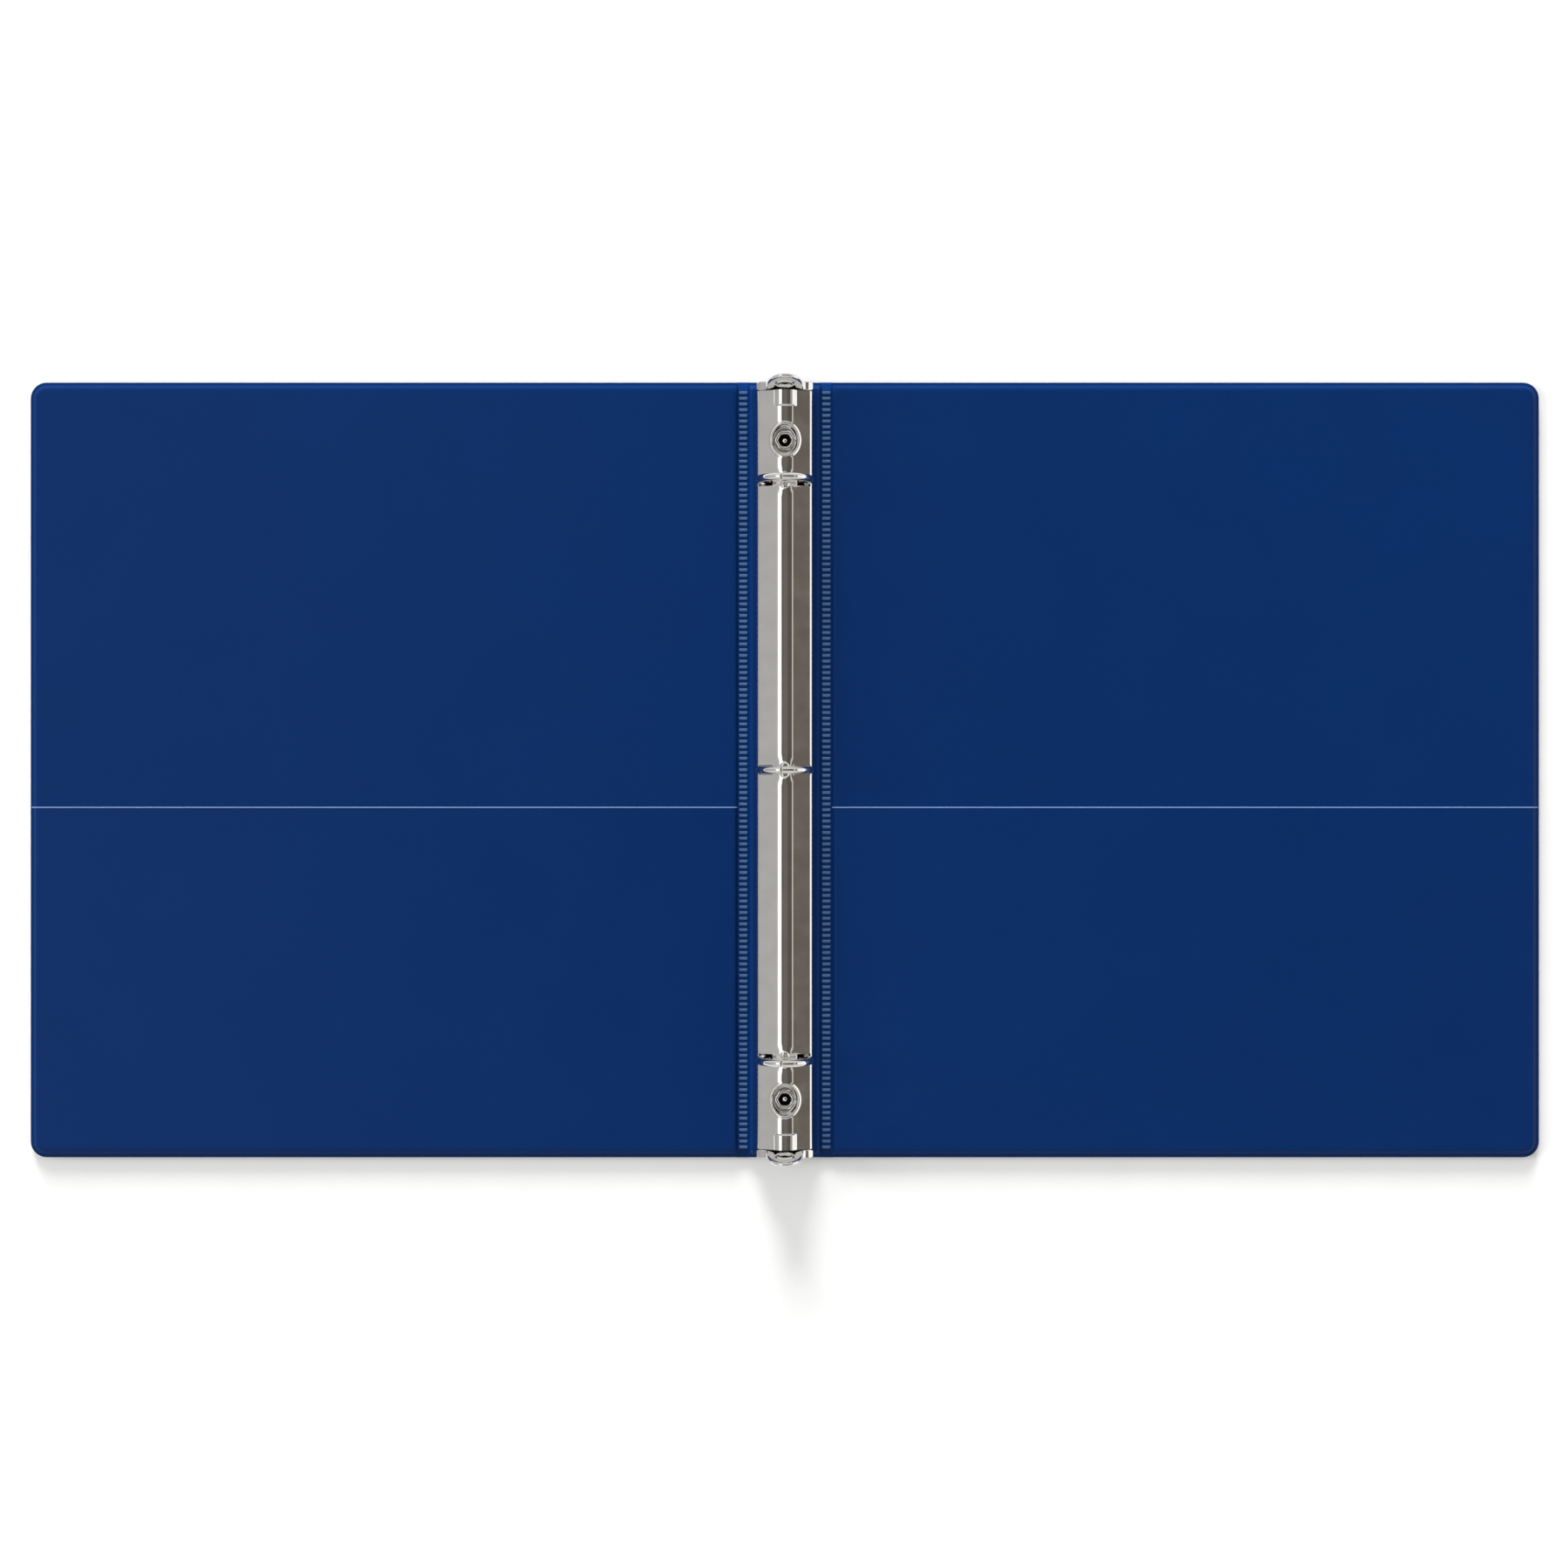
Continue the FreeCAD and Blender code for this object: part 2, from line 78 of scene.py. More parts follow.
OUTER_X, HALF_HEIGHT, WELD_Z = high_corner("back_outer_skin")
COVER_BOTTOM = low_corner("back_outer_skin")[2]
COVER_TOP = high_corner("back_inner_skin")[2]
SPINE_BOTTOM = low_corner("spine_outer_skin")[2]
SPINE_TOP = high_corner("spine_inner_skin")[2]
POCKET_MOUTH = high_corner("back_pocket")[1]
HINGE_X = joint_place("back_cover_hinge")[0]
LIP_COVER_X = HINGE_X + 1.75    # where the cover's skins meet the hinge strip
LIP_SPINE_X = HINGE_X - 1.75
CORNER = 6.0                # radius of a cover's outer corners
VINYL = 0.35                # thickness of a skin

RING_PITCH = 107.95
RINGS = {"top": RING_PITCH, "middle": 0.0, "bottom": -RING_PITCH}
ENDS = {"top": 1, "bottom": -1}
SIDES = {"left": -1, "right": 1}
COVERS = {"front": -1, "back": 1}
RIVET_TOP = high_corner("top_rivet")[2]
RIVET_Y = (low_corner("top_rivet")[1] + high_corner("top_rivet")[1]) / 2


# ---- small helpers ----------------------------------------------------------
SAME_POINT = 0.001


def smooth(value):
    """0 below 0, 1 above 1, and an S-curve between."""
    t = min(max(value, 0.0), 1.0)
    return t * t * (3 - 2 * t)


def steps(start, end, count):
    """count + 1 evenly spaced values from start to end."""
    return [start + (end - start) * i / count for i in range(count + 1)]


def make_piece(name, verts, faces, materials, face_material=None):
    """A smooth mesh object from points in millimetres, with its faces turned outwards."""
    mesh = bpy.data.meshes.new(name)
    mesh.from_pydata([Vector(v) * MM for v in verts], [], faces)
    for material in materials:
        mesh.materials.append(material)
    for polygon in mesh.polygons:
        polygon.use_smooth = True
        if face_material:
            polygon.material_index = face_material[polygon.index]
    mesh.validate()
    piece = bpy.data.objects.new(name, mesh)
    bpy.context.scene.collection.objects.link(piece)
    fix_normals(piece)
    return piece


def fix_normals(piece):
    """Joins points that lie on each other and turns every face outwards."""
    work = bmesh.new()
    work.from_mesh(piece.data)
    bmesh.ops.remove_doubles(work, verts=work.verts, dist=SAME_POINT * MM)
    bmesh.ops.recalc_face_normals(work, faces=work.faces)
    work.to_mesh(piece.data)
    work.free()


def apply_modifiers(piece):
    """Turns the piece's modifiers into plain mesh."""
    bpy.context.view_layer.update()
    graph = bpy.context.evaluated_depsgraph_get()
    finished = bpy.data.meshes.new_from_object(piece.evaluated_get(graph))
    piece.modifiers.clear()
    piece.data = finished


def sharpen(piece, angle=35.0):
    """Keeps an edge crisp where its faces meet at more than angle degrees."""
    work = bmesh.new()
    work.from_mesh(piece.data)
    limit = math.radians(angle)
    for edge in work.edges:
        if len(edge.link_faces) == 2 and edge.calc_face_angle(0.0) > limit:
            edge.smooth = False
    work.to_mesh(piece.data)
    work.free()


def bridge(loops, closed_loops=True, cap_start=True, cap_end=True):
    """Verts and faces joining loops that have the same number of points."""
    count = len(loops[0])
    verts = [point for loop in loops for point in loop]
    faces = []
    span = count if closed_loops else count - 1
    for i in range(len(loops) - 1):
        for j in range(span):
            k = (j + 1) % count
            a, b = i * count, (i + 1) * count
            faces.append((a + j, a + k, b + k, b + j))
    if cap_start:
        faces.append(tuple(range(count)))
    if cap_end:
        last = (len(loops) - 1) * count
        faces.append(tuple(range(last, last + count)))
    return verts, faces


def rounded_rect(x0, x1, y0, y1, radii, z, turn=7):
    """Loop of points; radii are for the corners (x1, y0), (x1, y1), (x0, y1) and (x0, y0)."""
    centres = [(x1, y0, 1, -1), (x1, y1, 1, 1), (x0, y1, -1, 1), (x0, y0, -1, -1)]
    starts = [-90, 0, 90, 180]
    loop = []
    for (x, y, sx, sy), radius, start in zip(centres, radii, starts):
        cx = x - sx * radius
        cy = y - sy * radius
        for i in range(turn + 1):
            angle = math.radians(start + 90 * i / turn)
            loop.append((cx + radius * math.cos(angle), cy + radius * math.sin(angle), z))
    return loop


def mirrored(loop, side):
    """The loop as it is for side 1, or reflected in the spine's middle plane."""
    return [(side * x, y, z) for x, y, z in loop]


# ---- materials --------------------------------------------------------------
def new_material(name):
    """A material with its node tree's parts at hand."""
    material = bpy.data.materials.new(name)
    material.use_nodes = True
    nodes = material.node_tree.nodes
    links = material.node_tree.links
    shader = nodes["Principled BSDF"]
    coords = nodes.new("ShaderNodeTexCoord")
    return material, nodes, links, shader, coords


def scaled(nodes, links, coords, scale):
    """Object coordinates stretched by scale, so that patterns can run one way."""
    mapping = nodes.new("ShaderNodeMapping")
    mapping.inputs["Scale"].default_value = scale
    links.new(coords.outputs["Object"], mapping.inputs["Vector"])
    return mapping.outputs["Vector"]


def noise(nodes, links, vector, scale, detail, roughness=0.5):
    """Cloudy pattern, 0 to 1; scale is in clouds a metre."""
    texture = nodes.new("ShaderNodeTexNoise")
    texture.inputs["Scale"].default_value = scale
    texture.inputs["Detail"].default_value = detail
    texture.inputs["Roughness"].default_value = roughness
    links.new(vector, texture.inputs["Vector"])
    return texture.outputs["Fac"]


def ramp(nodes, links, value, stops):
    """Colour ramp from (position, colour) pairs."""
    node = nodes.new("ShaderNodeValToRGB")
    elements = node.color_ramp.elements
    while len(elements) < len(stops):
        elements.new(0.5)
    for element, (position, colour) in zip(elements, stops):
        element.position = position
        element.color = (*colour, 1.0)
    links.new(value, node.inputs["Fac"])
    return node.outputs["Color"]


def grey(value):
    """A colour with no hue."""
    return (value, value, value)


def bump(nodes, links, shader, height, strength, distance):
    """Relief from a height pattern; distance is in metres."""
    node = nodes.new("ShaderNodeBump")
    node.inputs["Strength"].default_value = strength
    node.inputs["Distance"].default_value = distance
    links.new(height, node.inputs["Height"])
    links.new(node.outputs["Normal"], shader.inputs["Normal"])


def vinyl_material(name, colour):
    """Calendered vinyl: tiny pebbled grain, faint cloudiness in colour and gloss."""
    material, nodes, links, shader, coords = new_material(name)
    place = coords.outputs["Object"]
    cloud = noise(nodes, links, place, scale=25.0, detail=5.0)
    dark = tuple(c * 0.975 for c in colour)
    light = tuple(c * 1.025 for c in colour)
    tint = ramp(nodes, links, cloud, [(0.3, dark), (0.7, light)])
    links.new(tint, shader.inputs["Base Color"])
    fine = noise(nodes, links, place, scale=400.0, detail=5.0)
    gloss = ramp(nodes, links, fine, [(0.3, grey(0.44)), (0.7, grey(0.50))])
    links.new(gloss, shader.inputs["Roughness"])
    grain = nodes.new("ShaderNodeTexVoronoi")
    grain.feature = "SMOOTH_F1"
    grain.inputs["Scale"].default_value = 1500.0
    grain.inputs["Smoothness"].default_value = 0.6
    links.new(place, grain.inputs["Vector"])
    bump(nodes, links, shader, grain.outputs["Distance"], strength=0.22, distance=0.00012)
    shader.inputs["Specular IOR Level"].default_value = 0.12
    return material


def nickel_material(name, colour, low, high):
    """Bright plate, as rough as low to high: faint draw lines along the part and soft smudges."""
    material, nodes, links, shader, coords = new_material(name)
    drawn = scaled(nodes, links, coords, (1400.0, 35.0, 900.0))
    lines = noise(nodes, links, drawn, scale=1.0, detail=3.0)
    smudge = noise(nodes, links, coords.outputs["Object"], scale=130.0, detail=4.0)
    gloss = ramp(nodes, links, smudge, [(0.35, grey(low)), (0.75, grey(high))])
    links.new(gloss, shader.inputs["Roughness"])
    dull = tuple(c * 0.94 for c in colour)
    tint = ramp(nodes, links, smudge, [(0.3, dull), (0.6, colour)])
    links.new(tint, shader.inputs["Base Color"])
    bump(nodes, links, shader, lines, strength=0.05, distance=0.00002)
    shader.inputs["Metallic"].default_value = 1.0
    return material


def zinc_material(name, low, high):
    """Dull steel with rolled streaks, from the darkest to the lightest streak."""
    material, nodes, links, shader, coords = new_material(name)
    rolled = scaled(nodes, links, coords, (2500.0, 60.0, 2500.0))
    streaks = noise(nodes, links, rolled, scale=1.0, detail=5.0)
    tint = ramp(nodes, links, streaks, [(0.3, (low, low, low * 1.02)), (0.7, grey(high))])
    links.new(tint, shader.inputs["Base Color"])
    gloss = ramp(nodes, links, streaks, [(0.3, grey(0.28)), (0.7, grey(0.42))])
    links.new(gloss, shader.inputs["Roughness"])
    bump(nodes, links, shader, streaks, strength=0.1, distance=0.00004)
    shader.inputs["Metallic"].default_value = 1.0
    return material


def board_material(name):
    """Pressed grey board with pale and dark fibres."""
    material, nodes, links, shader, coords = new_material(name)
    fibres = noise(nodes, links, coords.outputs["Object"], scale=900.0, detail=6.0, roughness=0.7)
    tint = ramp(nodes, links, fibres, [(0.3, (0.20, 0.18, 0.15)), (0.7, (0.38, 0.34, 0.29))])
    links.new(tint, shader.inputs["Base Color"])
    shader.inputs["Roughness"].default_value = 0.9
    bump(nodes, links, shader, fibres, strength=0.4, distance=0.0001)
    return material


def paper_white_material(name):
    """Seamless studio paper under the object."""
    material, nodes, links, shader, coords = new_material(name)
    tooth = noise(nodes, links, coords.outputs["Object"], scale=60.0, detail=4.0)
    tint = ramp(nodes, links, tooth, [(0.3, grey(0.90)), (0.7, grey(0.92))])
    links.new(tint, shader.inputs["Base Color"])
    shader.inputs["Roughness"].default_value = 0.95
    shader.inputs["Specular IOR Level"].default_value = 0.0
    return material


BLUE = (0.0004, 0.0205, 0.107)
VINYL_BLUE = vinyl_material("blue_vinyl", BLUE)
VINYL_POCKET = vinyl_material("pocket_vinyl", BLUE)
# Paler blue for the tops of the hinge ribs: a painted highlight on the pressed ribs.
VINYL_RIB_HIGHLIGHT = vinyl_material("rib_highlight_vinyl", (0.060, 0.125, 0.255))
# Pale blue for the pocket's cut bead: a painted highlight of the light the cut edge catches.
VINYL_EDGE_HIGHLIGHT = vinyl_material("cut_vinyl_edge_highlight", (0.19, 0.29, 0.50))
NICKEL = nickel_material("nickel_plate", (0.80, 0.785, 0.76), 0.05, 0.11)
RIVET_NICKEL = nickel_material("rivet_plate", (0.74, 0.72, 0.70), 0.10, 0.18)
ZINC = zinc_material("zinc_steel", 0.42, 0.58)
# Near-black steel for the inside of a rivet's bore: painted shade down the deep hole.
SHADE = zinc_material("painted_shade_bore", 0.012, 0.03)
BOARD = board_material("grey_board")
PAPER = paper_white_material("studio_paper")


# ---- covers and spine -------------------------------------------------------
SPINE_CORNER = 0.4
LIP_CORNER = 0.5            # corners of a cover's skins beside the hinge
CLIMB_START = 1.3           # inset where the lip's corners begin to open out
CLIMB_LENGTH = 0.9
HOLLOW_INSET = 2.5          # hollow for the board, in from the outer edges
HOLLOW_LIP_INSET = 1.4      # and in from the lip
HOLLOW_CORNER = 1.4


def panel_rise(depth):
    """Rim to flat middle of a skin: (inset from the edges, inset from the lip, height above the weld)."""
    rim = VINYL
    over = depth - rim
    return [
        (0.00, 0.00, 0.00),
        (0.02, 0.02, rim * 0.6),
        (0.12, 0.08, rim * 0.92),
        (0.30, 0.18, rim),
        (0.80, 0.26, rim + over * 0.02),
        (1.15, 0.36, rim + over * 0.10),
        (1.50, 0.52, rim + over * 0.31),
        (1.85, 0.74, rim + over * 0.60),
        (2.20, 0.98, rim + over * 0.83),
        (2.65, 1.34, rim + over * 0.96),
        (3.30, 1.95, depth),
    ]


def skin_loops(depth, up, x_of, corner, lip_corner):
    """Loops of a skin: the visible face, then its hollow over a board; up is 1 or -1."""
    loops = []
    for outer, lip, height in panel_rise(depth):
        x0, x1 = x_of(outer, lip)
        inside = lip_corner + smooth((outer - CLIMB_START) / CLIMB_LENGTH)
        outside = max(corner - outer, inside)
        radii = (outside, outside, inside, inside)
        edge = HALF_HEIGHT - outer
        loops.append(rounded_rect(x0, x1, -edge, edge, radii, WELD_Z + up * height))
    loops.reverse()
    x0, x1 = x_of(HOLLOW_INSET, HOLLOW_LIP_INSET)
    outside = max(corner - HOLLOW_INSET, HOLLOW_CORNER)
    radii = (outside, outside, HOLLOW_CORNER, HOLLOW_CORNER)
    edge = HALF_HEIGHT - HOLLOW_INSET
    for height in (0.0, depth - VINYL):
        loops.append(rounded_rect(x0, x1, -edge, edge, radii, WELD_Z + up * height))
    return loops


def cover_skin(cover, layer, up, depth):
    """Inner or outer sheet of a cover, raised over its board."""
    def x_of(outer, lip):
        return LIP_COVER_X + lip, OUTER_X - outer

    loops = skin_loops(depth, up, x_of, CORNER, LIP_CORNER)
    verts, faces = bridge([mirrored(loop, COVERS[cover]) for loop in loops])
    piece = make_piece(cover + "_" + layer + "_vinyl", verts, faces, [VINYL_BLUE])
    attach(piece, cover + "_cover")
    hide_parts(cover + "_" + layer + "_skin")


def spine_skin(layer, up, depth):
    """Inner or outer sheet of the spine, raised over its board."""
    def x_of(outer, lip):
        return -LIP_SPINE_X + lip, LIP_SPINE_X - lip

    loops = skin_loops(depth, up, x_of, SPINE_CORNER, SPINE_CORNER)
    verts, faces = bridge(loops)
    piece = make_piece("spine_" + layer + "_vinyl", verts, faces, [VINYL_BLUE])
    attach(piece, "spine")
    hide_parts("spine_" + layer + "_skin")


# ---- welded hinge strips ----------------------------------------------------
STRIP_HALF = 0.34           # half the thickness of the strip
STRIP_REACH = 2.65          # how far the strip runs each way from the hinge line
RIB_PITCH = 2.154
RIB_LENGTH = 1.05           # along the spine
RIB_WIDTH = 3.1             # across the strip
RIB_HEIGHT = 0.22
RIB_SHOULDER = 0.75         # share of its height where a rib's top begins
RIB_ENDS = 5.0              # plain strip at both ends together
ON_RIB = 1.4                # two neighbours' shares add to more than this on a rib's top


def rib_rows():
    """Rows of the strip's mesh: (distance along the spine, rib's share of its height)."""
    half = RIB_LENGTH / 2
    climb = [(-half - 0.12, 0), (-half, RIB_SHOULDER), (-half * 0.55, 1)]
    rib = climb + [(-offset, share) for offset, share in reversed(climb)]
    count = int((2 * HALF_HEIGHT - RIB_ENDS) / RIB_PITCH)
    first = -RIB_PITCH * (count - 1) / 2
    rows = [(-HALF_HEIGHT, 0.0)]
    for i in range(count):
        rows += [(first + i * RIB_PITCH + offset, share) for offset, share in rib]
    rows.append((HALF_HEIGHT, 0.0))
    return rows


def strip_columns():
    """Columns of the strip's mesh: (distance from the hinge line, rib's share of its height)."""
    half = RIB_WIDTH / 2
    climb = [(-STRIP_REACH, 0), (-half - 0.1, 0), (-half, RIB_SHOULDER)]
    climb += [(-half + 0.18, 1), (-half * 0.5, 1)]
    return climb + [(0, 1)] + [(-x, share) for x, share in reversed(climb)]


def rim_of_grid(rows, wide):
    """Point numbers round the edge of a grid with so many rows, each wide points long."""
    rim = [i * wide for i in range(rows)]
    rim += [(rows - 1) * wide + j for j in range(1, wide)]
    rim += [i * wide + wide - 1 for i in range(rows - 2, -1, -1)]
    rim += [j for j in range(wide - 2, 0, -1)]
    return rim


def hinge_strip(cover):
    """Welded strip between spine and cover, with pressed ribs on both faces; the rib tops are given a
    paler blue as a painted highlight.
    """
    side = COVERS[cover]
    rows = rib_rows()
    columns = strip_columns()
    wide = len(columns)
    verts = []
    for up in (1, -1):
        for y, along in rows:
            for x, across in columns:
                height = STRIP_HALF + RIB_HEIGHT * along * across
                verts.append((side * (HINGE_X + x), y, WELD_Z + up * height))
    faces = []
    paint = []
    under = len(rows) * wide
    for first in (0, under):
        for i in range(len(rows) - 1):
            for j in range(wide - 1):
                a = first + i * wide + j
                faces.append((a, a + 1, a + wide + 1, a + wide))
                along = rows[i][1] + rows[i + 1][1]
                across = columns[j][1] + columns[j + 1][1]
                # Faces on a rib's top take the second material, the paler blue of the painted highlight.
                paint.append(1 if along > ON_RIB and across > ON_RIB else 0)
    rim = rim_of_grid(len(rows), wide)
    for a, b in zip(rim, rim[1:] + rim[:1]):
        faces.append((a, b, b + under, a + under))
        paint.append(0)
    piece = make_piece(cover + "_hinge_strip", verts, faces, [VINYL_BLUE, VINYL_RIB_HIGHLIGHT], paint)
    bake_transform(piece)


# ---- pockets ----------------------------------------------------------------
POCKET_SHEET = 0.3
POCKET_INSET = 0.25         # from the edge of the skin that it is welded to
POCKET_GAP = 0.06           # between sheet and skin at the weld
POCKET_LIFT = 0.14          # more gap over the flat of the cover
POCKET_CORNER = 0.6
SQUARE = 0.02               # radius of a corner that is as good as square
WELD_LOOPS = 3              # loops of the skin's rim that the pocket stays clear of
BEAD = 0.19                 # radius of the heat-cut bead along the mouth
BEAD_SIDES = 8


def pocket_path(outer, lip, z):
    """Three sides of a pocket, from its mouth down round the bottom and back up."""
    x0 = LIP_COVER_X + POCKET_INSET + lip
    x1 = OUTER_X - outer
    y0 = -HALF_HEIGHT + outer
    radii = (max(CORNER - outer, POCKET_CORNER), SQUARE, SQUARE, POCKET_CORNER)
    loop = rounded_rect(x0, x1, y0, POCKET_MOUTH, radii, z)
    turn = len(loop) // 4
    bottom_left = loop[3 * turn:]
    bottom_right = loop[:turn]
    return [(x0, POCKET_MOUTH, z)] + bottom_left + bottom_right + [(x1, POCKET_MOUTH, z)]


def pocket(cover):
    """Thin sheet welded at its sides and foot, lying over the inner skin."""
    depth = COVER_TOP - WELD_Z
    sheet = []
    for outer, lip, height in panel_rise(depth)[WELD_LOOPS:]:
        lifted = (height - VINYL) / (depth - VINYL)
        z = WELD_Z + height + POCKET_GAP + POCKET_SHEET + POCKET_LIFT * lifted
        sheet.append(mirrored(pocket_path(outer + POCKET_INSET, lip, z), COVERS[cover]))
    verts, faces = bridge(sheet, closed_loops=False, cap_start=False)
    piece = make_piece(cover + "_pocket_sheet", verts, faces, [VINYL_POCKET])
    solid = piece.modifiers.new("sheet", "SOLIDIFY")
    solid.thickness = POCKET_SHEET * MM
    solid.offset = -1.0
    apply_modifiers(piece)
    sharpen(piece)
    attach(piece, cover + "_cover")
    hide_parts(cover + "_pocket")
    lip_side = [loop[0] for loop in sheet]
    outer_side = [loop[-1] for loop in sheet]
    pocket_edge(cover, lip_side + outer_side[::-1])


def pocket_edge(cover, path):
    """Heat-cut bead along the mouth of a pocket, in a pale blue that paints the highlight the cut edge
    catches.
    """
    loops = []
    for x, y, z in path:
        loop = []
        for i in range(BEAD_SIDES):
            angle = 2 * math.pi * i / BEAD_SIDES
            along = y - BEAD * 0.4 + BEAD * math.cos(angle)
            loop.append((x, along, z - BEAD * 0.5 + BEAD * math.sin(angle)))
        loops.append(loop)
    verts, faces = bridge(loops)
    piece = make_piece(cover + "_pocket_mouth_edge", verts, faces, [VINYL_EDGE_HIGHLIGHT])
    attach(piece, cover + "_cover")


# ---- housing ----------------------------------------------------------------
SHEET = 0.7                 # steel
WALL_X, HOUSING_END = high_corner("housing")[:2]
WALL_TOP = SPINE_TOP + 3.3
RIDGE_TOP = SPINE_TOP + 7.0
RIDGE_X = 3.4
RIDGE_RISE = 0.7
RIDGE_SIDE = RIDGE_TOP - RIDGE_RISE
FLANK_SLOPE = (RIDGE_SIDE - WALL_TOP) / (WALL_X - RIDGE_X)
BEND = 2.0                  # radius between wall and flank
LIP_CURL = 0.6              # radius at the foot of the wall
LIP_REACH = 2.4             # inner edge of the lip, in from the wall
LIP_FLAT = 1.4              # where its flat foot ends
SLOT_NEAR = 4.6             # slots for the rings, out from the middle
SLOT_FAR = 9.62
SLOT_HALF = 1.8
DISH_X = 5.3                # half sizes of the seat pressed down round a rivet
DISH_Y = 6.2
DISH_DEPTH = 2.7
DISH_TAPER = 1.2
DISH_ROLL = 0.13            # height of the roll round its rim
FAR_FROM_DISH = 1.5         # in half sizes from its middle
RIVET_HOLE = 2.3
PAD_X = 3.9                 # half sizes of the swelling under each ring
PAD_Y = 6.2
PAD_RISE = 0.16
BUTTON_X = 1.85             # half sizes of the button pressed up in its middle
BUTTON_Y = 3.15
BUTTON_RISE = 0.34
TUNNEL_WIDTH = 8.6          # raised end that the lever's neck passes under
TUNNEL_LENGTH = 5.8
TUNNEL_RISE = 0.75
TUNNEL_FALL = 2.4           # from its middle to its sides
TUNNEL_BLEND = 0.8
SIDE_BELOW = WALL_TOP - 1.0     # nothing is pressed or cut below this height
PLAIN_STEP = 4.0            # distance between rows of mesh on the plain housing
RING_STEP = 0.45            # round a ring
RING_REACH = 7.0
DISH_STEP = 0.22            # round a seat
DISH_REACH = 9.6
TUNNEL_STEP = 0.12          # where the tunnel begins
TUNNEL_REACH = 0.6
CLOSEST_ROWS = 0.1


def roof_height(x):
    """Height of the plain housing over the flank and ridge."""
    across = abs(x)
    if across > RIDGE_X:
        return RIDGE_SIDE - (across - RIDGE_X) * FLANK_SLOPE
    radius = (RIDGE_X ** 2 + RIDGE_RISE ** 2) / (2 * RIDGE_RISE)
    return RIDGE_TOP - radius + math.sqrt(radius ** 2 - across ** 2)


def bend_points(count=16):
    """Round bend between a wall and its flank, from the wall up."""
    turn = math.pi / 2 - math.atan(FLANK_SLOPE)
    cx = WALL_X - BEND
    cz = WALL_TOP - BEND * math.tan(turn / 2)
    angles = [turn * i / count for i in range(count + 1)]
    return [(cx + BEND * math.cos(angle), cz + BEND * math.sin(angle)) for angle in angles]


def half_profile():
    """Points (x, z) from the curled lip up to the middle of the ridge."""
    points = [(WALL_X - LIP_REACH, SPINE_TOP), (WALL_X - LIP_FLAT, SPINE_TOP)]
    for i in range(5):
        angle = math.radians(-90 + 90 * i / 4)
        x = WALL_X - LIP_CURL + LIP_CURL * math.cos(angle)
        points.append((x, SPINE_TOP + LIP_CURL + LIP_CURL * math.sin(angle)))
    points += bend_points()
    marks = steps(points[-1][0], SLOT_NEAR, 20)[1:]
    marks += steps(SLOT_NEAR, RIDGE_X, 5)[1:]
    marks += steps(RIDGE_X, 0, 15)[1:]
    points += [(x, roof_height(x)) for x in marks]
    return points


def dished(x, along, z):
    """Height with the seat round a rivet pressed into it."""
    out = math.hypot(x / DISH_X, (along - RIVET_Y) / DISH_Y)
    if out >= FAR_FROM_DISH:
        return z
    floor_z = RIDGE_TOP - DISH_DEPTH
    inner = 1 - DISH_TAPER / DISH_X
    sink = 1 - smooth((out - inner) / (0.99 - inner))
    roll = math.exp(-((out - 1.03) / 0.07) ** 2)
    return z + (floor_z - z) * sink + DISH_ROLL * roll


def buttoned(x, y, z):
    """Height with the pads and buttons under the rings pressed up in it."""
    for ring_y in RINGS.values():
        pad = math.hypot(x / PAD_X, (y - ring_y) / PAD_Y)
        button = math.hypot(x / BUTTON_X, (y - ring_y) / BUTTON_Y)
        z += PAD_RISE * (1 - smooth((pad - 0.4) / 0.6))
        z += BUTTON_RISE * (1 - smooth((button - 0.72) / 0.34))
    return z


def tunnelled(x, along, z):
    """Height with the raised tunnel at the end blended into it."""
    ramp_start = HOUSING_END - TUNNEL_LENGTH - TUNNEL_REACH / 2
    inside = smooth((along - ramp_start) / TUNNEL_REACH)
    radius = TUNNEL_WIDTH / 2
    if inside <= 0 or abs(x) >= radius:
        return z
    shape = (1 - (x / radius) ** 2) ** 0.5
    top = RIDGE_TOP + TUNNEL_RISE - TUNNEL_FALL * (1 - shape)
    join = min(max(0.5 + (top - z) / TUNNEL_BLEND, 0.0), 1.0)
    return z + inside * ((top - z) * join + TUNNEL_BLEND / 2 * join * (1 - join))


def pressed(x, y, z):
    """Height of the housing at a point of its plain profile, once it has been through the press."""
    if z < SIDE_BELOW:
        return z
    return tunnelled(x, abs(y), buttoned(x, y, dished(x, abs(y), z)))


def housing_rows():
    """Distances along the spine where the housing's mesh has a row, closer where it is pressed."""
    marks = set()

    def spread(low, high, step):
        count = max(1, round(abs(high - low) / step))
        marks.update(round(v, 4) for v in steps(low, high, count))

    spread(-HOUSING_END, HOUSING_END, PLAIN_STEP)
    for ring_y in RINGS.values():
        spread(ring_y - RING_REACH, ring_y - SLOT_HALF, RING_STEP)
        spread(ring_y - SLOT_HALF, ring_y + SLOT_HALF, RING_STEP)
        spread(ring_y + SLOT_HALF, ring_y + RING_REACH, RING_STEP)
    for end in ENDS.values():
        spread(end * RIVET_Y - DISH_REACH, end * RIVET_Y + DISH_REACH, DISH_STEP)
        start = HOUSING_END - TUNNEL_LENGTH
        spread(end * (start - TUNNEL_REACH), end * (start + TUNNEL_REACH), TUNNEL_STEP)
    keep = []
    for mark in sorted(marks):
        slot_edge = any(abs(abs(mark - ring_y) - SLOT_HALF) < SAME_POINT for ring_y in RINGS.values())
        if not keep or mark - keep[-1] >= CLOSEST_ROWS:
            keep.append(mark)
        elif slot_edge:
            keep[-1] = mark
    return keep


def cut_away(x, y, z):
    """Whether a point of the plain profile is in a ring's slot or a rivet's hole."""
    if z <= SIDE_BELOW:
        return False
    if SLOT_NEAR < abs(x) < SLOT_FAR:
        return any(abs(y - ring_y) < SLOT_HALF for ring_y in RINGS.values())
    return z > WALL_TOP and math.hypot(x, abs(y) - RIVET_Y) < RIVET_HOLE


